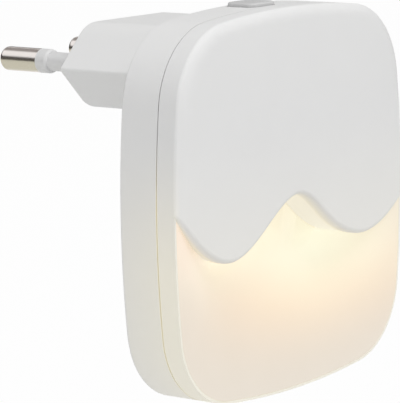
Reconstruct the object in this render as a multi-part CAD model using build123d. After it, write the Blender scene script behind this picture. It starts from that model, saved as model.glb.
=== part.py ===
from build123d import *
import math
import os

# A plug-in night light: a rounded square housing carried by a flat two-pin mains plug.
# Millimetres. The origin is the middle of the plug's engagement face, between the pins.
# +Y runs along the pins into the wall, the lit face looks along -Y, and +Z is up.
# A "depth" is a distance from the engagement face towards the room, so it is -Y.

# ---------------------------------------------------------------- housing outline
housing_width = 62.1
housing_height = 61.4
housing_top = 10.0
side_bulge_radius = 160.0
corner_radius = 13.4

# ---------------------------------------------------------------- depths of the housing
back_depth = 22.4
rear_rim_height = 7.1
front_rim_height = 3.4
wall = 1.8
back_wall = 2.0
face_wall = 2.0
seam_gap = 0.15
tongue_length = 1.5
tongue_clearance = 0.05
tongue_thickness = 0.8
back_edge_radius = 0.3

# ---------------------------------------------------------------- crowned cover and dished diffuser
crown_height = 1.85
rim_rise = 1.0
rim_inset = 2.5
rim_start = 30.0
rim_end = 82.0
rim_steps = 2
rim_radius = 0.6
crown_inset = 20.0
crown_steps = 3
dish_depth = 4.9
dish_flat_share = 0.33
dish_offset = 3.0
section_count = 6
diffuser_wall = 1.4
diffuser_lip = 0.4
diffuser_clearance = 0.05
riser_rise = 1.8
riser_setback = 0.15
wave_edge_radius = 0.8
# the lower edge of the cover: two lobes with a crest between them, from left to right,
# in shares of the half width and half height, from the middle of the front
wave_shares = [
    (-1.101, 0.235),
    (-0.929, -0.04),
    (-0.612, -0.238),
    (-0.272, -0.082),
    (-0.012, 0.032),
    (0.248, -0.135),
    (0.591, -0.257),
    (0.882, -0.167),
    (1.109, -0.016),
]

# ---------------------------------------------------------------- plug body
plug_width = 36.0
plug_height = 13.9
plug_wall = 1.8
plug_face_wall = 2.5
plug_corner_radius = 6.0
plug_side_radius = 0.5
plug_face_radius = 0.4

# ---------------------------------------------------------------- pins and their sleeves
pin_length = 19.0
pin_base_spacing = 18.6
pin_tip_spacing = 17.6
pin_diameter = 4.0
pin_tip_radius = 0.9
pin_metal_start = 10.9
collar_start = 8.6
collar_radius = 0.5
sleeve_diameter = 3.15
shank_diameter = 2.2
shank_depth = 9.0
sleeve_clearance = 0.1
core_clearance = 0.02
pin_flange_diameter = 4.6
flange_clearance = 0.1

# ---------------------------------------------------------------- pin retainer
retainer_gap = 1.5
retainer_width = 24.0
retainer_height = 5.0
retainer_thickness = 2.0
retainer_boss_diameter = 5.0
retainer_corner_radius = 1.5

# ---------------------------------------------------------------- screws
small_screw_diameter = 2.0
small_head_diameter = 3.8
small_head_height = 1.3
screw_clearance = 0.15
screw_drive_depth = 0.7
screw_drive_width = 0.45
screw_drive_share = 0.6
screw_point_share = 0.3
screw_dome_share = 0.4
screw_bite = 0.01
board_screw_length = 3.2
board_hole_floor = 0.8
retainer_screw_bite = 1.0
retainer_screw_floor = 1.1
housing_screw_diameter = 2.2
housing_head_diameter = 4.0
housing_head_height = 1.1
housing_screw_inset = 6.45
housing_boss_diameter = 6.0
boss_gap = 0.2
screw_end_gap = 1.0

# ---------------------------------------------------------------- circuit board
board_thickness = 1.0
board_standoff = 1.2
board_width = 41.0
board_top = 4.5
board_crest_gap = 2.7
board_corner_radius = 1.0
post_diameter = 5.0
post_x = 17.5
post_top_z = 1.4
post_rise = 2.9
post_peg_diameter = 1.8

# ---------------------------------------------------------------- parts on the board
film_capacitor_size = (10.5, 8.0, 10.0)
film_capacitor_radius = 0.3
film_capacitor_x = -4.6
electrolytic_diameter = 6.3
electrolytic_length = 9.0
electrolytic_radius = 0.5
electrolytic_x = 4.6
varistor_diameter = 6.0
varistor_thickness = 2.4
varistor_radius = 0.5
varistor_x = 10.2
part_seat_gap = 0.3
rectifier_size = (4.7, 3.9, 2.4)
rectifier_x = -9.2
rectifier_rise = 7.6
rectifier_leg = (0.6, 1.2, 0.25)
rectifier_leg_root = 0.4
fuse_diameter = 3.2
fuse_length = 8.0
fuse_radius = 0.6
fuse_lead_diameter = 0.6
fuse_lead_reach = 2.0
fuse_x = 11.0
fuse_rise = 6.0
chip_size = (3.2, 1.6, 0.6)
chip_first_x = -9.0
chip_spacing = 5.0
chip_count = 3
chip_rise = 3.0
led_size = (3.8, 1.2, 1.1)
led_spacing = 7.0
led_count = 3

# ---------------------------------------------------------------- contact springs
spring_thickness = 0.4
spring_width = 3.0
spring_x = 13.0
spring_tail = 0.5
spring_bend_depth = 10.5
spring_touch_length = 1.8
spring_bend_radius = 0.8
slot_clearance = 0.1

# ---------------------------------------------------------------- push button and its switch
button_x = -1.3
button_width = 6.5
button_length = 5.7
button_back_gap = 0.75
button_corner_radius = 1.4
button_proud = 0.6
button_edge_radius = 0.35
button_head_height = 2.4
button_neck_inset = 0.5
button_clearance = 0.15
button_travel = 0.5
pocket_clearance = 0.4
catch_flange = 1.0
catch_thickness = 0.8
catch_gap = 0.2
catch_seam_gap = 0.2
switch_width = 6.0
switch_thickness = 3.4
switch_bottom = -1.2
switch_top = 3.8
switch_wall = 0.4
plunger_width = 2.6
plunger_thickness = 1.8
plunger_clearance = 0.1
plunger_top = 5.0
plunger_bottom = 1.2
switch_floor = 0.8
coil_radius = 0.6
coil_wire_diameter = 0.2
coil_turns = 4

# ---------------------------------------------------------------- light reflector
reflector_thickness = 0.5
reflector_margin = 0.7
reflector_below_board = 3.0
reflector_gap = 0.05

# ---------------------------------------------------------------- derived places
seam_depth = back_depth + rear_rim_height
front_depth = seam_depth + front_rim_height
housing_drop = housing_height / 2 - housing_top
button_back_depth = back_depth + button_back_gap
catch_front_depth = seam_depth - catch_seam_gap
catch_width = button_width + 2 * catch_flange
front_wall_start = seam_depth + seam_gap / 2
back_rim_end = seam_depth - seam_gap / 2
tongue_outer = wall - tongue_thickness
crest_z = wave_shares[len(wave_shares) // 2][1] * housing_height / 2 - housing_drop
board_bottom = crest_z + riser_rise + board_crest_gap
post_low_z = board_bottom + post_rise
board_back = back_depth + back_wall + board_standoff
board_front = board_back + board_thickness
retainer_back = plug_face_wall + retainer_gap
button_top = housing_top + button_proud
button_bottom = button_top - button_head_height
button_front_depth = button_back_depth + button_length
button_mid_depth = button_back_depth + button_length / 2
inner_top = housing_top - wall
catch_top = inner_top - catch_gap
plunger_depth = board_front + switch_wall + plunger_clearance + plunger_thickness / 2
pin_taper = (pin_base_spacing - pin_tip_spacing) / 2 / pin_length
far_in_front = front_depth + 20.0


def at(depth):
    """A plane that faces the room, at a depth from the engagement face."""
    return Plane.XZ.offset(depth)


def prism(face, start, end):
    """A face drawn in X and Z, made solid from one depth to another."""
    return at(start) * extrude(face, end - start)


def block(width, height, x, z, start, end):
    """A box by its size in X and Z, its middle and its two depths."""
    return prism(Pos(x, z) * Rectangle(width, height), start, end)


def rod(diameter, x, z, start, end):
    """A round bar along the depth."""
    return prism(Pos(x, z) * Circle(diameter / 2), start, end)


def outline(inset, scale=1.0, shift=0.0):
    """The rounded square with bulged sides, drawn in on every side by one distance."""
    a = (housing_width / 2 - inset) * scale
    b = (housing_height / 2 - inset) * scale
    side = (side_bulge_radius - inset) * scale
    corner = (corner_radius - inset) * scale
    # both side arcs run into the corner arc, so its centre is as far from either side's centre
    side_x = a - side
    side_z = b - side
    reach = side - corner
    half_gap = math.hypot(side_x, side_z) / 2
    rise = math.sqrt(reach**2 - half_gap**2)
    centre_x = side_x / 2 - rise * side_z / (2 * half_gap)
    centre_z = side_z / 2 - rise * side_x / (2 * half_gap)
    meet_x = side_x + (centre_x - side_x) * side / reach
    meet_z = centre_z * side / reach
    top_x = centre_x * side / reach
    top_z = side_z + (centre_z - side_z) * side / reach
    turn = math.hypot(2 * centre_x - side_x, 2 * centre_z - side_z)
    mid_x = centre_x + corner * (2 * centre_x - side_x) / turn
    mid_z = centre_z + corner * (2 * centre_z - side_z) / turn
    arcs = [
        ThreePointArc((meet_x, -meet_z), (a, 0), (meet_x, meet_z)),
        ThreePointArc((meet_x, meet_z), (mid_x, mid_z), (top_x, top_z)),
        ThreePointArc((top_x, top_z), (0, b), (-top_x, top_z)),
        ThreePointArc((-top_x, top_z), (-mid_x, mid_z), (-meet_x, meet_z)),
        ThreePointArc((-meet_x, meet_z), (-a, 0), (-meet_x, -meet_z)),
        ThreePointArc((-meet_x, -meet_z), (-mid_x, -mid_z), (-top_x, -top_z)),
        ThreePointArc((-top_x, -top_z), (0, -b), (top_x, -top_z)),
        ThreePointArc((top_x, -top_z), (mid_x, -mid_z), (meet_x, -meet_z)),
    ]
    return Pos(shift, -housing_drop) * make_face(arcs)


def below_wave(lift):
    """Everything below the cover's wavy edge, with that edge raised by lift."""
    points = []
    for across, up in wave_shares:
        points.append((across * housing_width / 2, up * housing_height / 2 - housing_drop + lift))
    edge = Spline(points)
    floor = -housing_drop - housing_height
    sides = Polyline(edge @ 1, (points[-1][0], floor), (points[0][0], floor), edge @ 0)
    return make_face([edge, sides])


def crown(shift):
    """The volume under the crowned face, from its rim to its top, moved in by shift.

    The face rolls over the rim along part of an oval, then rises gently to its flat top.
    """
    first, last = math.radians(rim_start), math.radians(rim_end)
    rim = []
    for i in range(rim_steps + 1):
        turn = first + (last - first) * i / rim_steps
        inset = rim_inset * (1 - math.cos(turn) / math.cos(first))
        rim.append((inset, rim_rise * (math.sin(turn) - math.sin(first)) / (1 - math.sin(first))))
    rim_in, rim_up = rim[-1]
    dome = []
    for i in range(crown_steps + 1):
        t = i / crown_steps
        dome.append((rim_in + (crown_inset - rim_in) * t, rim_up + (crown_height - rim_up) * t * (2 - t)))
    return crown_ring(rim, shift) + crown_ring(dome, shift)


def crown_ring(sections, shift):
    """One smooth stretch of the crown, through sections given by inset and rise."""
    half = housing_width / 2
    return loft([at(front_depth + rise - shift) * outline(0, 1 - inset / half) for inset, rise in sections])


def dish(shift):
    """The hollow in front of the diffuser, moved in by shift. It is deepest right of the middle."""
    sections = []
    for i in range(section_count):
        t = i / (section_count - 1)
        depth = dish_depth * (1 - math.cos(math.pi * t)) / 2
        scale = 1 - (1 - dish_flat_share) * t
        sections.append(at(front_depth - depth - shift) * outline(0, scale, dish_offset * t))
    return loft(sections)


def plug_outline(inset):
    """The flat six-sided plug section, with rounded edges."""
    half_height = plug_height / 2 - inset
    half_width = plug_width / 2 - inset * math.sqrt(2)
    flat = half_width - half_height
    corners = [
        (half_width, 0),
        (flat, half_height),
        (-flat, half_height),
        (-half_width, 0),
        (-flat, -half_height),
        (flat, -half_height),
    ]
    shape = make_face(Polyline(*corners, close=True))
    rest = shape.vertices().filter_by(lambda v: abs(v.Y) > 0.01)
    shape = fillet(rest, max(plug_corner_radius - inset, 0.5))
    sides = shape.vertices().filter_by(lambda v: abs(v.Y) < 0.01)
    return fillet(sides, plug_side_radius)


def pin_axis(side):
    """The frame of one pin: its middle on the engagement face, its axis towards the tip."""
    base = side * pin_base_spacing / 2
    return Plane(origin=(base, 0, 0), x_dir=(0, 0, 1), z_dir=(-side * pin_taper, 1, 0))


def along_pin(side, diameter, start, end):
    """A round bar on a pin's axis, between two distances from the engagement face."""
    return pin_axis(side) * Pos(0, 0, start) * extrude(Circle(diameter / 2), end - start)


def pin(side):
    """Solid contact tip, thin core inside the sleeve, a flange behind the face and a shank."""
    tip = along_pin(side, pin_diameter, pin_metal_start, pin_length)
    tip = fillet(tip.edges().sort_by(Axis.Y)[-1], pin_tip_radius)
    core = along_pin(side, shank_diameter, -shank_depth, pin_metal_start)
    flange_start = -retainer_back + flange_clearance
    flange_end = -plug_face_wall - flange_clearance
    flange = along_pin(side, pin_flange_diameter, flange_start, flange_end)
    return tip + core + flange


def pin_sleeve(side):
    """Insulating sleeve: thin in the middle, with a full-size collar against the metal."""
    thin = along_pin(side, sleeve_diameter, -plug_face_wall, pin_metal_start)
    collar = along_pin(side, pin_diameter, collar_start, pin_metal_start)
    collar = fillet(collar.edges().group_by(Axis.Y)[0], collar_radius)
    bore = along_pin(side, shank_diameter + 2 * core_clearance, -plug_face_wall, pin_metal_start)
    return thin + collar - bore


def screw(diameter, head_diameter, head_height, length):
    """A self-tapping screw along +Z with its head's underside at zero and a cross recess."""
    body = extrude(Circle(diameter / 2), length)
    body = chamfer(body.edges().sort_by(Axis.Z)[-1], diameter * screw_point_share)
    head = extrude(Circle(head_diameter / 2), -head_height)
    head = fillet(head.edges().sort_by(Axis.Z)[0], head_height * screw_dome_share)
    slot = extrude(Rectangle(head_diameter * screw_drive_share, screw_drive_width), -screw_drive_depth)
    cross = slot + Rot(0, 0, 90) * slot
    return body + head - Pos(0, 0, screw_drive_depth - head_height) * cross


def towards_room(x, z, depth):
    """Places a screw that is driven from the wall side, with its head's underside at a depth."""
    return Plane(origin=(x, -depth, z), x_dir=(1, 0, 0), z_dir=(0, -1, 0))


def towards_wall(x, z, depth):
    """Places a screw that is driven from the room side, with its head's underside at a depth."""
    return Plane(origin=(x, -depth, z), x_dir=(1, 0, 0), z_dir=(0, 1, 0))


def housing_screw_places():
    """The four corners where the two shells are screwed together."""
    across = housing_width / 2 - housing_screw_inset
    up = housing_height / 2 - housing_screw_inset
    return [(side * across, row * up - housing_drop) for side in (-1, 1) for row in (1, -1)]


def housing_screw_seat():
    """Depth of the screw heads' undersides in the back wall."""
    return back_depth + housing_head_height


def housing_screw_end():
    """Depth that the housing screws reach in the front shell's bosses."""
    return front_depth - diffuser_wall - screw_end_gap


def button_opening(margin):
    """The button's section, drawn out by a margin, in X and Y."""
    shape = RectangleRounded(
        button_width + 2 * margin, button_length + 2 * margin, button_corner_radius + margin
    )
    return Pos(button_x, -button_mid_depth) * shape


def plug_body():
    """The plug's outside, from the engagement face into the housing's back wall."""
    body = prism(plug_outline(0), 0, back_depth + back_wall / 2)
    rim = body.edges().group_by(Axis.Y)[-1]
    return fillet(rim, plug_face_radius)


def rear_housing():
    """Back shell in one piece with the plug body, its posts, bosses and button pocket."""
    shell = prism(outline(0), back_depth, back_rim_end)
    shell = fillet(shell.edges().group_by(Axis.Y)[-1], back_edge_radius)
    shell += plug_body()
    shell -= prism(outline(wall), back_depth + back_wall, back_rim_end + 1)
    shell -= prism(plug_outline(plug_wall), plug_face_wall, back_depth + back_wall + 1)
    rebate = tongue_outer - tongue_clearance
    tongue_end = seam_depth - tongue_length
    shell -= prism(outline(rebate), tongue_end - 2 * tongue_clearance, back_rim_end + 1)
    for side in (-1, 1):
        hole = sleeve_diameter + 2 * sleeve_clearance
        shell -= along_pin(side, hole, -plug_face_wall - 1, 1)
    shell += retainer_boss()
    shell -= rod(small_screw_diameter, 0, 0, retainer_screw_floor, retainer_back + 1)
    for side in (-1, 1):
        shell += rod(post_diameter, side * post_x, post_top_z, back_depth + 1, board_back)
        shell += rod(post_diameter, side * post_x, post_low_z, back_depth + 1, board_back)
        shell += rod(post_peg_diameter, side * post_x, post_low_z, back_depth + 1, board_front)
        hole_start = back_depth + board_hole_floor
        shell -= rod(small_screw_diameter, side * post_x, post_top_z, hole_start, board_back + 1)
    inside = prism(outline(wall / 2), back_depth + 1, seam_depth - tongue_length - boss_gap)
    for x, z in housing_screw_places():
        boss = rod(housing_boss_diameter, x, z, back_depth + 1, seam_depth)
        shell += boss & inside
        clear = housing_screw_diameter + 2 * screw_clearance
        recess = housing_head_diameter + 2 * screw_clearance
        shell -= rod(clear, x, z, back_depth - 1, seam_depth)
        shell -= rod(recess, x, z, back_depth - 1, housing_screw_seat())
    pocket_floor = button_bottom - button_travel - pocket_clearance
    opening = extrude(button_opening(button_clearance), housing_top + 1 - pocket_floor)
    return shell - Pos(0, 0, pocket_floor) * opening


def retainer_boss():
    """The boss behind the engagement face that the retainer's screw bites into."""
    return rod(retainer_boss_diameter, 0, 0, plug_face_wall - 0.5, retainer_back)


def cover_skin(inset, shift):
    """The crowned block that the cover is cut from, drawn in from its sides and its face."""
    start = seam_depth - tongue_length
    inside = prism(outline(inset), start, far_in_front)
    return prism(outline(inset), start, front_depth - shift) + (crown(shift) & inside)


def cover_block():
    """The solid cover, with its wavy edge and then its rim rounded."""
    cover = prism(outline(0), front_wall_start, front_depth) + crown(0)
    cover -= prism(below_wave(0), 0, far_in_front)
    step = cover.faces().filter_by(lambda face: abs(face.normal_at().Y) < 0.01)
    step = step.sort_by(Axis.Z)[0]
    front = [edge for edge in step.edges() if edge.center().Y < -front_depth + rim_radius]
    cover = fillet(front, wave_edge_radius)
    at_rim = [edge for edge in cover.edges() if abs(edge.center().Y + front_depth) < 0.01]
    return fillet([edge for edge in at_rim if edge.length > rim_radius], rim_radius)


def side_ring(end):
    """The side walls up to a depth, with the rebate that takes the diffuser's rim."""
    ring = prism(outline(0), front_wall_start, end) - prism(outline(wall), 0, far_in_front)
    return ring - prism(outline(diffuser_lip), front_depth - diffuser_wall, far_in_front)


def front_housing():
    """Front shell: the whole side ring, and the opaque cover that ends in the wavy edge."""
    cover = cover_block() - cover_skin(wall, face_wall)
    lit_side = side_ring(front_depth) & prism(below_wave(0), 0, far_in_front)
    shell = cover + lit_side + side_ring(front_depth - rim_radius)
    tongue = prism(outline(tongue_outer), seam_depth - tongue_length, front_wall_start + 0.5)
    tongue -= prism(outline(wall), 0, far_in_front)
    notch_width = catch_width + 2 * wall
    tongue -= block(notch_width, 4 * wall, button_x, housing_top, 0, front_wall_start)
    shell += tongue
    behind_plate = diffuser_wall + diffuser_clearance
    under_plate = prism(outline(tongue_outer), 0, front_depth - behind_plate) - dish(behind_plate)
    under_cover = cover_skin(tongue_outer, face_wall / 2)
    for x, z in housing_screw_places():
        limit = under_cover if z > -housing_drop else under_plate
        shell += rod(housing_boss_diameter, x, z, seam_depth - tongue_length, far_in_front) & limit
        shell -= rod(housing_screw_diameter, x, z, 0, housing_screw_end() + boss_gap)
    return shell


def diffuser():
    """Translucent front: a dished plate in the ring's rebate, and a riser under the wavy edge."""
    inside = prism(outline(wall + diffuser_clearance), 0, far_in_front)
    exposed = prism(below_wave(-diffuser_clearance), 0, far_in_front)
    under_cover = cover_skin(wall + diffuser_clearance, face_wall + diffuser_clearance)
    body = prism(outline(diffuser_lip + diffuser_clearance), front_depth - diffuser_wall, far_in_front)
    body += dish(diffuser_wall) & inside
    body &= prism(below_wave(riser_rise), 0, far_in_front)
    body -= prism(outline(0), 0, far_in_front) - inside - exposed
    body &= under_cover + exposed
    riser = body - prism(below_wave(riser_setback), 0, far_in_front)
    plate = body & prism(below_wave(riser_setback), 0, front_depth)
    return plate - dish(0) + riser


def button():
    """The push button: a rounded cap, a catch under the top wall and a foot on the plunger."""
    head = extrude(button_opening(0), button_head_height)
    head = fillet(head.edges().group_by(Axis.Z)[-1], button_edge_radius)
    head = Pos(0, 0, button_bottom) * head
    clear_of_wall = back_depth + back_wall + pocket_clearance
    catch_length = catch_front_depth - clear_of_wall
    catch_middle = (clear_of_wall + catch_front_depth) / 2
    catch = Box(catch_width, catch_length, catch_thickness, align=(Align.CENTER, Align.CENTER, Align.MAX))
    catch = Pos(button_x, -catch_middle, catch_top) * catch
    neck_length = button_front_depth - clear_of_wall
    neck_width = button_width - 2 * button_neck_inset
    neck_height = button_bottom + button_neck_inset - catch_top + catch_thickness
    neck = Box(neck_width, neck_length, neck_height, align=(Align.CENTER, Align.MIN, Align.MIN))
    neck = Pos(button_x, -button_front_depth, catch_top - catch_thickness) * neck
    foot_height = catch_top - catch_thickness - plunger_top
    foot = Box(plunger_width, plunger_thickness, foot_height, align=(Align.CENTER, Align.CENTER, Align.MIN))
    return head + catch + neck + Pos(button_x, -plunger_depth, plunger_top) * foot


def switch_body():
    """The small push switch on the front of the board, with a well for its plunger."""
    height = switch_top - switch_bottom
    middle = (switch_top + switch_bottom) / 2
    body = block(switch_width, height, button_x, middle, board_front, board_front + switch_thickness)
    well_floor = switch_bottom + switch_floor
    well = Box(
        plunger_width + 2 * plunger_clearance,
        plunger_thickness + 2 * plunger_clearance,
        switch_top - well_floor + 1,
        align=(Align.CENTER, Align.CENTER, Align.MIN),
    )
    return body - Pos(button_x, -plunger_depth, well_floor) * well


def switch_plunger():
    """The plunger that the button pushes into the switch."""
    height = plunger_top - plunger_bottom
    body = Box(plunger_width, plunger_thickness, height, align=(Align.CENTER, Align.CENTER, Align.MIN))
    return Pos(button_x, -plunger_depth, plunger_bottom) * body


def switch_spring():
    """The coil spring between the well's floor and the plunger."""
    floor = switch_bottom + switch_floor
    height = plunger_bottom - floor - coil_wire_diameter
    path = Helix(pitch=height / coil_turns, height=height, radius=coil_radius)
    start = Plane(origin=path @ 0, z_dir=path % 0)
    coil = sweep(start * Circle(coil_wire_diameter / 2), path)
    return Pos(button_x, -plunger_depth, floor + coil_wire_diameter / 2) * coil


def pin_retainer():
    """The plate that traps both pin flanges behind the engagement face."""
    plate = block(retainer_width, retainer_height, 0, 0, retainer_back, retainer_back + retainer_thickness)
    plate = fillet(plate.edges().filter_by(Axis.Y), retainer_corner_radius)
    for side in (-1, 1):
        hole = shank_diameter + 4 * sleeve_clearance
        plate -= along_pin(side, hole, -retainer_back - retainer_thickness - 1, 0)
    hole = small_screw_diameter + 2 * screw_clearance
    return plate - rod(hole, 0, 0, retainer_back - 1, retainer_back + retainer_thickness + 1)


def retainer_screw():
    """The screw through the middle of the retainer."""
    length = retainer_thickness + retainer_gap + retainer_screw_bite
    place = towards_wall(0, 0, retainer_back + retainer_thickness)
    return place * screw(small_screw_diameter - 2 * screw_bite, small_head_diameter, small_head_height, length)


def contact_spring(side):
    """A bent strip from its slot in the board to the side of the pin's shank."""
    touch_depth = shank_depth - spring_touch_length / 2
    shank_side = pin_base_spacing / 2 + pin_taper * touch_depth + shank_diameter / 2
    touch_x = shank_side + core_clearance + spring_thickness / 2
    lean = touch_depth - spring_touch_length
    tail = board_front + spring_tail
    points = [
        (side * spring_x, -tail),
        (side * spring_x, -spring_bend_depth),
        (side * touch_x, -touch_depth),
        (side * touch_x, -lean),
    ]
    path = FilletPolyline(*points, radius=spring_bend_radius)
    strip = Plane(origin=path @ 0, z_dir=path % 0) * Rectangle(spring_thickness, spring_width)
    return sweep(strip, path)


def circuit_board():
    """The board in the upper half, with its screw holes, peg holes and contact slots."""
    height = board_top - board_bottom
    board = block(board_width, height, 0, (board_top + board_bottom) / 2, board_back, board_front)
    board = fillet(board.edges().filter_by(Axis.Y), board_corner_radius)
    for side in (-1, 1):
        hole = small_screw_diameter + 2 * screw_clearance
        board -= rod(hole, side * post_x, post_top_z, board_back - 1, board_front + 1)
        peg = post_peg_diameter + 2 * screw_clearance
        board -= rod(peg, side * post_x, post_low_z, board_back - 1, board_front + 1)
        slot = spring_thickness + 2 * slot_clearance
        length = spring_width + 2 * slot_clearance
        board -= block(slot, length, side * spring_x, 0, board_back - 1, board_front + 1)
    return board


def board_screws():
    """The two screws that hold the board on its upper posts."""
    length = board_screw_length
    made = screw(small_screw_diameter - 2 * screw_bite, small_head_diameter, small_head_height, length)
    return [towards_wall(side * post_x, post_top_z, board_front) * made for side in (-1, 1)]


def film_capacitor():
    """The boxed mains capacitor behind the board, in the plug body's hollow."""
    width, height, length = film_capacitor_size
    start = board_back - length
    body = block(width, height, film_capacitor_x, 0, start, board_back)
    return fillet(body.edges(), film_capacitor_radius)


def electrolytic_capacitor():
    """The round smoothing capacitor behind the board."""
    can = rod(electrolytic_diameter, electrolytic_x, 0, board_back - electrolytic_length, board_back)
    return fillet(can.edges().group_by(Axis.Y)[-1], electrolytic_radius)


def varistor():
    """The disc that takes mains surges, on edge behind the board."""
    middle = board_back - part_seat_gap - varistor_diameter / 2
    disc = Plane(origin=(varistor_x, -middle, 0), z_dir=(1, 0, 0)) * Circle(varistor_diameter / 2)
    body = extrude(disc, varistor_thickness / 2, both=True)
    return fillet(body.edges(), varistor_radius)


def bridge_rectifier():
    """The rectifier on the front of the board, standing on four legs."""
    width, height, thickness = rectifier_size
    leg_width, leg_reach, leg_thickness = rectifier_leg
    x = rectifier_x
    z = board_bottom + rectifier_rise
    body = block(width, height, x, z, board_front + leg_thickness, board_front + thickness)
    for side_x in (-1, 1):
        for side_z in (-1, 1):
            leg_x = x + side_x * width / 4
            leg_z = z + side_z * (height + leg_reach - rectifier_leg_root) / 2
            leg_end = board_front + 2 * leg_thickness
            body += block(leg_width, leg_reach + rectifier_leg_root, leg_x, leg_z, board_front, leg_end)
    return body


def fuse_resistor():
    """The fusible resistor lying along the board, with its two leads through it."""
    x = fuse_x
    z = board_bottom + fuse_rise
    depth = board_front + part_seat_gap + fuse_diameter / 2
    line = Plane(origin=(x, -depth, z), z_dir=(1, 0, 0))
    body = extrude(line * Circle(fuse_diameter / 2), fuse_length / 2, both=True)
    body = fillet(body.edges(), fuse_radius)
    reach = fuse_length / 2 + fuse_lead_reach
    body += extrude(line * Circle(fuse_lead_diameter / 2), reach, both=True)
    for side in (-1, 1):
        body += rod(fuse_lead_diameter, x + side * (reach - fuse_lead_diameter / 2), z, board_front, depth)
    return body


def bleed_resistors():
    """Small chip resistors in a row on the front of the board."""
    width, height, thickness = chip_size
    z = board_bottom + chip_rise
    chips = []
    for i in range(chip_count):
        x = chip_first_x + i * chip_spacing
        chips.append(block(width, height, x, z, board_front, board_front + thickness))
    return chips


def leds():
    """Side-looking light diodes along the board's lower edge, shining down."""
    width, height, thickness = led_size
    first = -(led_count - 1) / 2
    made = []
    for i in range(led_count):
        x = (first + i) * led_spacing
        z = board_bottom + height / 2
        made.append(block(width, height, x, z, board_front, board_front + thickness))
    return made


def light_reflector():
    """The white sheet behind the diffuser, cut round the screw bosses."""
    start = back_depth + back_wall + reflector_gap
    end = start + reflector_thickness
    sheet = prism(outline(wall + reflector_margin), start, end)
    top = board_bottom - reflector_below_board
    above = top + housing_height / 2
    sheet -= block(2 * housing_width, housing_height, 0, above, start - 1, end + 1)
    for x, z in housing_screw_places():
        sheet -= rod(housing_boss_diameter + 2 * reflector_margin, x, z, start - 1, end + 1)
    return sheet


def housing_screws():
    """The four screws that go through the back shell into the front one."""
    length = housing_screw_end() - housing_screw_seat()
    thread = housing_screw_diameter - 2 * screw_bite
    made = screw(thread, housing_head_diameter, housing_head_height, length)
    seat = housing_screw_seat()
    return [towards_room(x, z, seat) * made for x, z in housing_screw_places()]


def write(name, shape):
    """Writes one node, as one solid or as a group of separate solids."""
    solids = []
    for piece in shape if isinstance(shape, list) else [shape]:
        solids += piece.solids()
    made = solids[0] if len(solids) == 1 else Compound(children=solids)
    made.label = name
    export_step(made, f"parts/{name}.step")


def main():
    os.makedirs("parts", exist_ok=True)
    for name, side in (("left", -1), ("right", 1)):
        write(f"pin_{name}", pin(side))
        write(f"pin_sleeve_{name}", pin_sleeve(side))
        write(f"contact_spring_{name}", contact_spring(side))
    for make in (
        rear_housing,
        front_housing,
        diffuser,
        button,
        switch_body,
        switch_plunger,
        switch_spring,
        pin_retainer,
        retainer_screw,
        circuit_board,
        board_screws,
        film_capacitor,
        electrolytic_capacitor,
        varistor,
        bridge_rectifier,
        fuse_resistor,
        bleed_resistors,
        leds,
        light_reflector,
        housing_screws,
    ):
        write(make.__name__, make())


main()
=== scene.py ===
# %% [markdown]
# # A plug-in night light
# The exact shapes are already packed: 26 CAD pieces on two bodies, the housing and its button. This
# lesson gives them their finishes, their light and a small studio. The pieces could be modelled
# again here, but the packed ones are what the simulation uses, so nearly all are kept as they are.

# %% Load the packed model
import math
import bmesh
import bpy
from mathutils import Matrix, Vector


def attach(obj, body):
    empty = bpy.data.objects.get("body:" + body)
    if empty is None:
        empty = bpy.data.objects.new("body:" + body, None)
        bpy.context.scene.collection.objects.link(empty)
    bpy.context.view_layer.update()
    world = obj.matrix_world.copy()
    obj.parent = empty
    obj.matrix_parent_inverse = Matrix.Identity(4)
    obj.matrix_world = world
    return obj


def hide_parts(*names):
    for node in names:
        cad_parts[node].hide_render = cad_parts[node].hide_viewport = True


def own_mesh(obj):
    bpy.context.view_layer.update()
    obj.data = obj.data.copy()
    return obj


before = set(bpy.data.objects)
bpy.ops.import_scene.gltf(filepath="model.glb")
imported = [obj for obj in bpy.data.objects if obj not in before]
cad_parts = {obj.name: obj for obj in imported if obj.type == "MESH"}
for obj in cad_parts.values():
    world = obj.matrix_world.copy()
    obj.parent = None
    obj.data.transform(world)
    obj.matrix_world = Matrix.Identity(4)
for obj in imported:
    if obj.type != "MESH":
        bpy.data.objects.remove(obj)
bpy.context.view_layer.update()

MM = 0.001

# %% [markdown]
# ## The camera
# The light hangs in the air as if plugged into a wall socket, and is seen from its left front,
# a little from above. A camera can be aimed at an empty, or be given its turn directly. Here the
# three angles of a tripod head are used, so the view can be read off: how far round, how far up,
# and a slight roll. A long lens keeps the far side nearly as large as the near one.

# %% The camera
IMAGE_HEIGHT = 403
SENSOR = 36.0
FOCAL_PIXELS = 2745.4
ROUND, UP, ROLL = math.radians(-52.8238), math.radians(9.2249), math.radians(-0.9974)
CAMERA_PLACE = Vector((-351.871, -281.074, 49.089)) * MM
NEAREST, FARTHEST = 0.01, 20


def aim_camera():
    """A camera whose back points from the object towards the viewer."""
    out = math.cos(UP)
    back = Vector((math.sin(ROUND) * out, -math.cos(ROUND) * out, math.sin(UP)))
    level = Vector((math.cos(ROUND), math.sin(ROUND), 0))
    right = level * math.cos(ROLL) + back.cross(level) * math.sin(ROLL)
    turn = Matrix((right, back.cross(right), back)).transposed().to_4x4()
    data = bpy.data.cameras.new("viewer")
    data.sensor_width = SENSOR
    data.lens = FOCAL_PIXELS * SENSOR / IMAGE_HEIGHT
    data.clip_start, data.clip_end = NEAREST, FARTHEST
    camera = bpy.data.objects.new("viewer", data)
    bpy.context.scene.collection.objects.link(camera)
    camera.matrix_world = Matrix.Translation(CAMERA_PLACE) @ turn
    bpy.context.scene.camera = camera
    print("lens", round(data.lens, 1), "mm, from", [round(c / MM) for c in CAMERA_PLACE])


aim_camera()

# %% [markdown]
# ## Shader maths
# Every finish below is a small graph of nodes. Linking them one call at a time hides the idea, so
# a class wraps a socket and lets Python's own signs add the Math nodes. One more class holds the
# graph and has a single method for every other kind of node.

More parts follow.
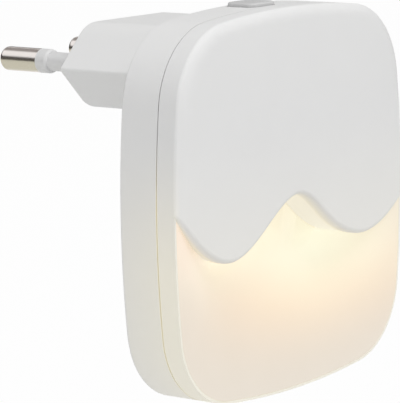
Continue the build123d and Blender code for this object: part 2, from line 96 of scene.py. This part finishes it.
# %% A socket that does sums
class Wire:
    """An output socket. Sums with other wires or numbers add Math nodes."""

    def __init__(self, finish, socket):
        self.finish = finish
        self.socket = socket

    def sum(self, operation, *values):
        return self.finish.add("ShaderNodeMath", {"operation": operation}, dict(enumerate(values)))

    def __add__(self, other):
        return self.sum("ADD", self, other)

    __radd__ = __add__

    def __sub__(self, other):
        return self.sum("SUBTRACT", self, other)

    def __rsub__(self, other):
        return self.sum("SUBTRACT", other, self)

    def __mul__(self, other):
        return self.sum("MULTIPLY", self, other)

    __rmul__ = __mul__

    def power_of_e(self):
        return self.sum("EXPONENT", self)

    def clamp(self):
        return self.finish.add("ShaderNodeClamp", {}, {0: self})


# %% A finish under construction
class Finish:
    """The node graph of a material, or of the world."""

    def __init__(self, name, kind="materials"):
        self.block = getattr(bpy.data, kind).new(name)
        self.block.use_nodes = True
        self.tree = self.block.node_tree
        self.tree.nodes.clear()

    def add(self, kind, settings, inputs, output=0):
        """Adds one node: its settings first, then the numbers or wires of its sockets."""
        node = self.tree.nodes.new(kind)
        for name, value in settings.items():
            setattr(node, name, value)
        for name, value in inputs.items():
            if isinstance(value, Wire):
                self.tree.links.new(value.socket, node.inputs[name])
            else:
                node.inputs[name].default_value = value
        return Wire(self, node.outputs[output]) if len(node.outputs) else node

    def place(self):
        """The point on the piece, in metres, in the shared frame."""
        return self.add("ShaderNodeTexCoord", {}, {}, "Object")

    def axes(self):
        """The same point, in millimetres, as three wires."""
        point = {0: self.place()}
        return [self.add("ShaderNodeSeparateXYZ", {}, point, axis) * (1 / MM) for axis in "XYZ"]

    def noise(self, grain_mm, detail=2.0, stretch=(1, 1, 1)):
        """Soft noise with a grain of that size, packed closer along an axis by its stretch."""
        scale = tuple(s / (grain_mm * MM) for s in stretch)
        point = self.add("ShaderNodeMapping", {}, {"Vector": self.place(), "Scale": scale})
        inputs = {"Vector": point, "Scale": 1.0, "Detail": detail, "Roughness": 0.5}
        return self.add("ShaderNodeTexNoise", {}, inputs)

    def blend(self, factor, first, second):
        """Mixes two colours."""
        colours = {0: factor, 6: first, 7: second}
        for key in (6, 7):
            if isinstance(colours[key], tuple):
                colours[key] = (*colours[key], 1)
        return self.add("ShaderNodeMix", {"data_type": "RGBA"}, colours, 2)

    def bump(self, height, depth_mm):
        """Turns a height into a normal, with its depth in millimetres."""
        inputs = {"Height": height, "Strength": 1.0, "Distance": depth_mm * MM}
        return self.add("ShaderNodeBump", {}, inputs)

    def end_in(self, shader, output="ShaderNodeOutputMaterial"):
        """Plugs the last shader in, and hands over the finished material or world."""
        self.add(output, {}, {"Surface": shader})
        return self.block

    def surface(self, **inputs):
        """Ends in a Principled shader. An underscore stands for a space in a socket's name."""
        named = {name.replace("_", " "): value for name, value in inputs.items()}
        return self.end_in(self.add("ShaderNodeBsdfPrincipled", {}, named))


print("a finish can do", [name for name in vars(Finish) if not name.startswith("_")])

# %% [markdown]
# ## White satin plastic
# Both shells are moulded in one white plastic with a fine satin texture from the mould. A flat
# white would look like paper. A faint drift in tone from the flow of the melt, a slightly uneven
# gloss and a very fine bump give it the look of a moulded surface.

# %% White satin plastic
FLOW_MM, TEXTURE_MM, GLOSS_MM = 9.0, 0.11, 2.5
GLOSS_DRIFT = 0.06
TEXTURE_DEPTH_MM = 0.004
PLASTIC_IOR = 1.5


def satin_plastic(name, tint, shade, roughness, texture_depth_mm=TEXTURE_DEPTH_MM, own_light=None):
    """Moulded plastic: two close tones, uneven gloss and the mould's fine texture."""
    finish = Finish(name)
    flow = finish.noise(FLOW_MM, detail=3.0)
    texture = finish.noise(TEXTURE_MM)
    gloss = finish.noise(GLOSS_MM, detail=4.0) * GLOSS_DRIFT + (roughness - GLOSS_DRIFT / 2)
    light = {}
    if own_light:
        light = {"Emission_Color": own_light(finish), "Emission_Strength": 1.0}
    return finish.surface(
        Base_Color=finish.blend(flow, tint, shade),
        Roughness=gloss,
        IOR=PLASTIC_IOR,
        Normal=finish.bump(texture, texture_depth_mm),
        **light,
    )


# %% [markdown]
# ## Light that soaks into the shells
# White plastic two millimetres thick isn't quite opaque. Next to the lit front, the diodes' warm
# light soaks into the walls, most in the thin ring round the diffuser and hardly at all at the
# back. Real scattering would be slow to render, so the shells get a faint warm light of their own
# that grows downwards and towards the front. A little more of it leaks out at the seam.

# %% Light in the walls
WALL_LIGHT = (0.14, 0.11, 0.02)
WALL_LIGHT_TOP, WALL_LIGHT_FULL = -6.0, -31.0  # heights in millimetres
BACK_DEPTH, SIDE_LENGTH = 22.5, 7.0  # the rear shell's side wall, in millimetres of depth
SEAM_DEPTH, SEAM_REACH = 29.5, 0.2236
RING_START, RING_END = 29.3, 33.0
STEP_WIDTH = 0.5
BACK_SHARE, REAR_SHARE, COVER_SHARE, SEAM_SHARE = 0.45, 0.75, 0.3, 1.3  # the ring has all of it


def ramp(value, start, width):
    """0 before start, 1 from start + width on, and a straight slope between."""
    return ((value - start) * (1 / width)).clamp()


def soaked_light(finish):
    """The warm light inside the shells' walls: none at the top and on the back."""
    _, y, z = finish.axes()
    depth = y * -1
    down = ramp(z, WALL_LIGHT_TOP, WALL_LIGHT_FULL - WALL_LIGHT_TOP)
    down = down * down * (3 - down * 2)
    side = BACK_SHARE + ramp(depth, BACK_DEPTH, SIDE_LENGTH) * (REAR_SHARE - BACK_SHARE)
    rear = ramp(depth, BACK_DEPTH, STEP_WIDTH) * side
    ring = ramp(depth, RING_START, STEP_WIDTH) * (1 - REAR_SHARE)
    cover = ramp(depth, RING_END, STEP_WIDTH) * (COVER_SHARE - 1)
    off_seam = (depth - SEAM_DEPTH) * (1 / SEAM_REACH)
    seam = (1 - off_seam * off_seam).clamp() * SEAM_SHARE
    return finish.blend(down * (rear + ring + cover + seam), (0, 0, 0), WALL_LIGHT)


# %% The plastics
housing_white = satin_plastic(
    "satin_white", (0.775, 0.775, 0.772), (0.755, 0.755, 0.752), 0.5, own_light=soaked_light
)
button_grey = satin_plastic("button_grey", (0.58, 0.58, 0.58), (0.55, 0.55, 0.55), 0.45)
sleeve_white = satin_plastic("sleeve_white", (0.70, 0.70, 0.70), (0.68, 0.68, 0.68), 0.4, 0.001)
inner_white = satin_plastic("inner_white", (0.78, 0.78, 0.75), (0.70, 0.70, 0.68), 0.5)
print("the shells' white is a graph of", len(housing_white.node_tree.nodes), "nodes")

# %% [markdown]
# ## The glowing diffuser
# Behind the milky front sit a few small warm diodes, just above the crest of the cover's edge.
# Light could really be sent through a translucent solid, but that is slow and grainy. The plastic
# is given its own soft light instead: a wide warm patch low down, two paler ones above it and a
# small one at the left, each falling away smoothly. Away from them only a little light is left.

# %% The glowing diffuser
GLOW_FAR = (0.462, 0.406, 0.334)
GLOW_PATCHES = [
    # colour, then the middle (X, Z) and the reach (X, Z) in millimetres
    ((0.610, 0.390, 0.215), (9.4, -34.9), (26.2, 8.7)),
    ((0.940, 0.830, 0.570), (-11.6, -24.0), (15.2, 7.2)),
    ((0.715, 0.690, 0.505), (11.9, -30.1), (18.1, 8.9)),
    ((0.630, 0.500, 0.380), (-28.0, -22.0), (8.0, 7.0)),
]


def soft_patch(x, z, middle, reach):
    """A round patch without an edge: 1 at its middle, falling to 0."""
    across = (x - middle[0]) * (1 / reach[0])
    down = (z - middle[1]) * (1 / reach[1])
    return ((across * across + down * down) * -1).power_of_e()


def dish_light(finish):
    """The patches laid over one another, in the order of the list."""
    x, _, z = finish.axes()
    light = GLOW_FAR
    for colour, middle, reach in GLOW_PATCHES:
        light = finish.blend(soft_patch(x, z, middle, reach), light, colour)
    return light


# %% Milky plastic
def milky(name, light_of):
    """Milky plastic with a soft warm light of its own, given by light_of(finish)."""
    finish = Finish(name)
    return finish.surface(
        Base_Color=finish.blend(finish.noise(7.0), (0.36, 0.35, 0.33), (0.34, 0.33, 0.31)),
        Roughness=finish.noise(3.0) * 0.05 + 0.45,
        Emission_Color=light_of(finish),
        Emission_Strength=1.0,
        Normal=finish.bump(finish.noise(0.12), 0.003),
    )


diffuser_lit = milky("lit_milky_plastic", dish_light)
print("the glow is made of", len(GLOW_PATCHES), "patches")

# %% [markdown]
# ## What else the diodes light
# The diffuser's riser, the sheet behind it and the diodes themselves have an even light, each in a
# tone of its own. It could be one flat colour. A slow drift between two close tones looks less
# painted.

# %% Even lights
# The riser's weaker glow is painted shade for its sideways-facing wall.
RISER_GLOW = (0.53, 0.50, 0.41)
RISER_PALER = tuple(c * 0.97 for c in RISER_GLOW)


def even_light(bright, paler, drift_mm):
    """Gives milky() a light that drifts slowly between two tones."""
    return lambda finish: finish.blend(finish.noise(drift_mm), bright, paler)


riser_lit = milky("lit_riser", even_light(RISER_GLOW, RISER_PALER, 6.0))
reflector_lit = milky("lit_reflector", even_light((0.66, 0.61, 0.46), (0.62, 0.57, 0.43), 6.0))
diodes_lit = milky("lit_diodes", even_light((1.0, 0.88, 0.60), (1.0, 0.84, 0.54), 1.0))
print("the riser glows", [round(c, 2) for c in RISER_GLOW])

# %% [markdown]
# ## Metal
# The pins are turned brass with a bright nickel skin. A turned part shows faint rings round its
# axis and tiny scratches along it, from being plugged in and out. Both are noise stretched to a
# fraction of its length, feeding gloss and bump.

# %% Metal
RING_STRETCH, SCRATCH_STRETCH = (1, 12, 1), (5, 0.3, 5)


def plated_metal(name, tint, shade, roughness):
    """Bright metal with fine marks that run round and along the axis Y."""
    finish = Finish(name)
    rings = finish.noise(0.6, detail=3.0, stretch=RING_STRETCH)
    scratches = finish.noise(0.5, stretch=SCRATCH_STRETCH)
    return finish.surface(
        Base_Color=finish.blend(scratches, tint, shade),
        Metallic=1.0,
        Roughness=rings * 0.08 + scratches * 0.06 + roughness,
        Normal=finish.bump(rings, 0.0015),
    )


nickel = plated_metal("nickel_plate", (0.86, 0.81, 0.78), (0.82, 0.77, 0.74), 0.17)
zinc = plated_metal("zinc_plate", (0.62, 0.62, 0.63), (0.55, 0.55, 0.57), 0.3)
spring_brass = plated_metal("spring_brass", (0.80, 0.62, 0.34), (0.70, 0.52, 0.28), 0.3)
print("metals:", nickel.name, zinc.name, spring_brass.name)

# %% [markdown]
# ## What is sealed inside
# The board and its components never show while the light is closed, but anyone who lifts the
# cover off should find real finishes. Each is a two-tone plastic, ceramic or varnish.

# %% Inner finishes
MOTTLE_MM, MOTTLE_DEPTH_MM = 0.8, 0.01


def dipped(name, tint, shade, roughness):
    """A coated or moulded component with a slightly mottled skin."""
    finish = Finish(name)
    mottle = finish.noise(MOTTLE_MM, detail=3.0)
    return finish.surface(
        Base_Color=finish.blend(mottle, tint, shade),
        Roughness=mottle * 0.1 + roughness,
        Normal=finish.bump(mottle, MOTTLE_DEPTH_MM),
    )


inner_finishes = {
    "circuit_board": dipped("board_varnish", (0.05, 0.22, 0.09), (0.03, 0.16, 0.06), 0.3),
    "film_capacitor": dipped("film_case", (0.75, 0.52, 0.08), (0.70, 0.47, 0.07), 0.35),
    "electrolytic_capacitor": dipped("can_sleeve", (0.05, 0.05, 0.07), (0.07, 0.07, 0.09), 0.3),
    "varistor": dipped("varistor_dip", (0.06, 0.18, 0.45), (0.05, 0.14, 0.38), 0.25),
    "bridge_rectifier": dipped("rectifier_case", (0.03, 0.03, 0.03), (0.05, 0.05, 0.05), 0.5),
    "fuse_resistor": dipped("resistor_dip", (0.55, 0.42, 0.28), (0.48, 0.36, 0.24), 0.35),
    "bleed_resistors": dipped("chip_film", (0.03, 0.03, 0.035), (0.06, 0.06, 0.07), 0.3),
    "leds": diodes_lit,
    "light_reflector": reflector_lit,
    "switch_body": dipped("switch_case", (0.04, 0.04, 0.04), (0.06, 0.06, 0.06), 0.45),
    "switch_plunger": inner_white,
    "switch_spring": zinc,
    "pin_retainer": inner_white,
    "retainer_screw": zinc,
    "board_screws": zinc,
    "contact_spring_left": spring_brass,
    "contact_spring_right": spring_brass,
}

# %% [markdown]
# ## Painting the pieces
# A material goes on a packed piece through the slots of its mesh. It could be added to the ones
# that came with the piece. They are cleared first instead, so that each piece has just one.

# %% Every finish on its piece
outer_finishes = {
    "rear_housing": housing_white,
    "front_housing": housing_white,
    "diffuser": diffuser_lit,
    "button": button_grey,
    "pin_left": nickel,
    "pin_right": nickel,
    "pin_sleeve_left": sleeve_white,
    "pin_sleeve_right": sleeve_white,
    "housing_screws": zinc,
}

for node, material in {**inner_finishes, **outer_finishes}.items():
    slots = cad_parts[node].data.materials
    slots.clear()
    slots.append(material)
print(len(inner_finishes), "inner and", len(outer_finishes), "outer pieces have their finish")

# %% [markdown]
# ## The diffuser's step
# Under the cover's edge the milky plastic stands up in a low wall, the riser, before it dives into
# the dish. It faces sideways, so its glow is set a little dimmer than the dish's: painted shade,
# given as a weaker light. One mesh with two materials keeps the surface closed: a merged copy of
# the CAD part, whose steep faces take the second material.

# %% From mesh to piece
def make_piece(name, bm, material, smooth=True):
    """Turns a bmesh into an object with one material."""
    mesh = bpy.data.meshes.new(name)
    bm.to_mesh(mesh)
    bm.free()
    mesh.materials.append(material)
    for face in mesh.polygons:
        face.use_smooth = smooth
    piece = bpy.data.objects.new(name, mesh)
    bpy.context.scene.collection.objects.link(piece)
    return piece


def welded_copy(node):
    """A bmesh of a CAD node with its loose triangles joined."""
    bm = bmesh.new()
    bm.from_mesh(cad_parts[node].data)
    bmesh.ops.remove_doubles(bm, verts=bm.verts, dist=0.001 * MM)
    return bm


# %% The diffuser with its riser
RISER_HALF_WIDTH = 27.0 * MM
STEEP = 0.5
SHARP = math.radians(30)


def diffuser_piece():
    """The milky front, with the second material on its riser."""
    bm = welded_copy("diffuser")
    steep = 0
    for face in bm.faces:
        aside = abs(face.calc_center_median().x)
        if abs(face.normal.y) < STEEP and aside < RISER_HALF_WIDTH:
            face.material_index = 1
            steep += 1
    print("the riser has", steep, "of", len(bm.faces), "faces")
    piece = make_piece("lit_diffuser", bm, diffuser_lit)
    piece.data.materials.append(riser_lit)
    piece.data.set_sharp_from_angle(angle=SHARP)
    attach(piece, "housing")
    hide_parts("diffuser")


diffuser_piece()

# %% [markdown]
# ## The return spring
# A small coil of steel wire lifts the button's plunger, and a press makes it half a millimetre
# shorter. Left stiff, the plunger would sink into its coils. Here a merged copy of the coil takes
# the packed one's place on the housing, and stays stiff.


def spring_piece():
    """The coil, as a merged copy that rides on the housing."""
    bm = welded_copy("switch_spring")
    piece = make_piece("squashing_spring", bm, zinc)
    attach(piece, "housing")
    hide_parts("switch_spring")
    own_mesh(piece)


spring_piece()

# %% [markdown]
# ## Floor
# Goods like this are shown on white. The floor could be a sheet that curves up behind the object.
# Here it is a flat one, so wide that its edge is far away, and well below the night light, which
# hangs at a socket. It is a diffuse surface that catches the shadow, with plain white mixed in for
# the camera and for gloss alone, so it never throws extra light on the plastic.

# %% The floor
FLOOR_Z, FLOOR_HALF = -0.16, 6.0
FLOOR_WHITE_SHARE = 0.97
WHITE = (1, 1, 1, 1)


def looking_rays(finish):
    """1 for the rays that show the background: the camera's, and those in gloss and glass."""
    looking = finish.add("ShaderNodeLightPath", {}, {}, "Is Camera Ray")
    for kind in ("Is Glossy Ray", "Is Transmission Ray"):
        looking = looking.sum("MAXIMUM", looking, finish.add("ShaderNodeLightPath", {}, {}, kind))
    return looking


def floor_finish():
    """White to the camera and to gloss, plain pale paint to light."""
    finish = Finish("pale_floor")
    tone = finish.blend(finish.noise(60.0), (0.80, 0.80, 0.80), (0.79, 0.79, 0.79))
    pale = finish.add("ShaderNodeBsdfDiffuse", {}, {"Color": tone})
    white = finish.add("ShaderNodeEmission", {}, {"Color": WHITE, "Strength": 1.0})
    share = looking_rays(finish) * FLOOR_WHITE_SHARE
    return finish.end_in(finish.add("ShaderNodeMixShader", {}, {0: share, 1: pale, 2: white}))


def studio_floor():
    """One large flat face under the light."""
    bm = bmesh.new()
    bmesh.ops.create_grid(bm, x_segments=1, y_segments=1, size=FLOOR_HALF)
    bmesh.ops.translate(bm, verts=bm.verts, vec=(0, 0, FLOOR_Z))
    return make_piece("floor", bm, floor_finish(), smooth=False)


studio_floor()
print("the floor lies", round(-FLOOR_Z / MM), "mm below the pins")

# %% [markdown]
# ## Cards for the metal
# Polished metal shows only its surroundings, so in an all-white room it looks like white plastic.
# In a studio, grey and black cards are stood round such a piece. These do the same: they are seen
# by glossy surfaces alone, so they neither shade the plastic nor show in the picture.

# %% Kinds of card
def stand_card(name, bm, grey):
    """Puts up a card that only glossy surfaces see."""
    finish = Finish(name + "_tone")
    tone = finish.end_in(finish.add("ShaderNodeEmission", {}, {"Color": (*grey, 1)}))
    piece = make_piece(name, bm, tone, smooth=False)
    for ray in ("camera", "diffuse", "transmission", "volume_scatter", "shadow"):
        setattr(piece, "visible_" + ray, False)


def flat_card(name, towards, distance, width, height, grey):
    """A flat card, square to the direction in which it stands. Sizes are in metres."""
    towards = Vector(towards).normalized()
    turn = towards.to_track_quat("Z", "Y").to_matrix().to_4x4()
    bm = bmesh.new()
    bmesh.ops.create_grid(bm, x_segments=1, y_segments=1, size=0.5)
    bmesh.ops.scale(bm, verts=bm.verts, vec=(width, height, 1))
    bmesh.ops.transform(bm, matrix=Matrix.Translation(towards * distance) @ turn, verts=bm.verts)
    stand_card(name, bm, grey)


def horizon_card(radius, low, high, grey):
    """A dark band all round the object, from a little above the floor."""
    bm = bmesh.new()
    bmesh.ops.create_circle(bm, cap_ends=False, segments=64, radius=radius)
    bmesh.ops.translate(bm, verts=bm.verts, vec=(0, 0, low))
    made = bmesh.ops.extrude_edge_only(bm, edges=bm.edges[:])["geom"]
    upper = [item for item in made if isinstance(item, bmesh.types.BMVert)]
    bmesh.ops.translate(bm, verts=upper, vec=(0, 0, high - low))
    stand_card("horizon_card", bm, grey)


# %% Three cards
horizon_card(radius=1.2, low=-0.155, high=0.44, grey=(0.05, 0.045, 0.04))
flat_card(
    "low_card", towards=(-0.3, 0.6, -0.65), distance=0.19, width=0.42, height=0.30,
    grey=(0.66, 0.66, 0.55),
)
flat_card(
    "high_card", towards=(0.36, 0.6, 0.72), distance=0.9, width=0.75, height=0.55,
    grey=(0.30, 0.28, 0.27),
)
print("three cards stand round the metal")

# %% [markdown]
# ## Light
# A large soft lamp above and in front, a weaker one from the left, and an even grey-white sky.
# The numbers are set so that a colour renders about as it is written.

# %% Lamps
LIT_POINT = Vector((0, 0, -0.02))


def soft_lamp(name, place, size, power):
    """A round area lamp that faces the object."""
    data = bpy.data.lights.new(name, "AREA")
    data.shape = "DISK"
    data.size = size
    data.energy = power
    lamp = bpy.data.objects.new(name, data)
    bpy.context.scene.collection.objects.link(lamp)
    lamp.location = place
    lamp.rotation_euler = (LIT_POINT - Vector(place)).to_track_quat("-Z", "Y").to_euler()
    print(name, "lamp:", power, "W")


soft_lamp("key", place=(0.1, -0.7, 0.9), size=0.7, power=6.0)
soft_lamp("side", place=(-1.0, -0.1, 0.3), size=0.8, power=1.5)

# %% Sky
SOFT_SKY = 0.62


def sky():
    """White where the camera or a glossy surface looks, a softer grey for everything else."""
    finish = Finish("sky", "worlds")
    soft = finish.add("ShaderNodeBackground", {}, {"Color": WHITE, "Strength": SOFT_SKY})
    white = finish.add("ShaderNodeBackground", {}, {"Color": WHITE, "Strength": 1.0})
    both = {0: looking_rays(finish), 1: soft, 2: white}
    return finish.end_in(finish.add("ShaderNodeMixShader", {}, both), "ShaderNodeOutputWorld")


bpy.context.scene.world = sky()
bpy.context.scene.view_settings.view_transform = "Standard"
print("the sky lights at", SOFT_SKY, "of white")

# %% [markdown]
# ## The end
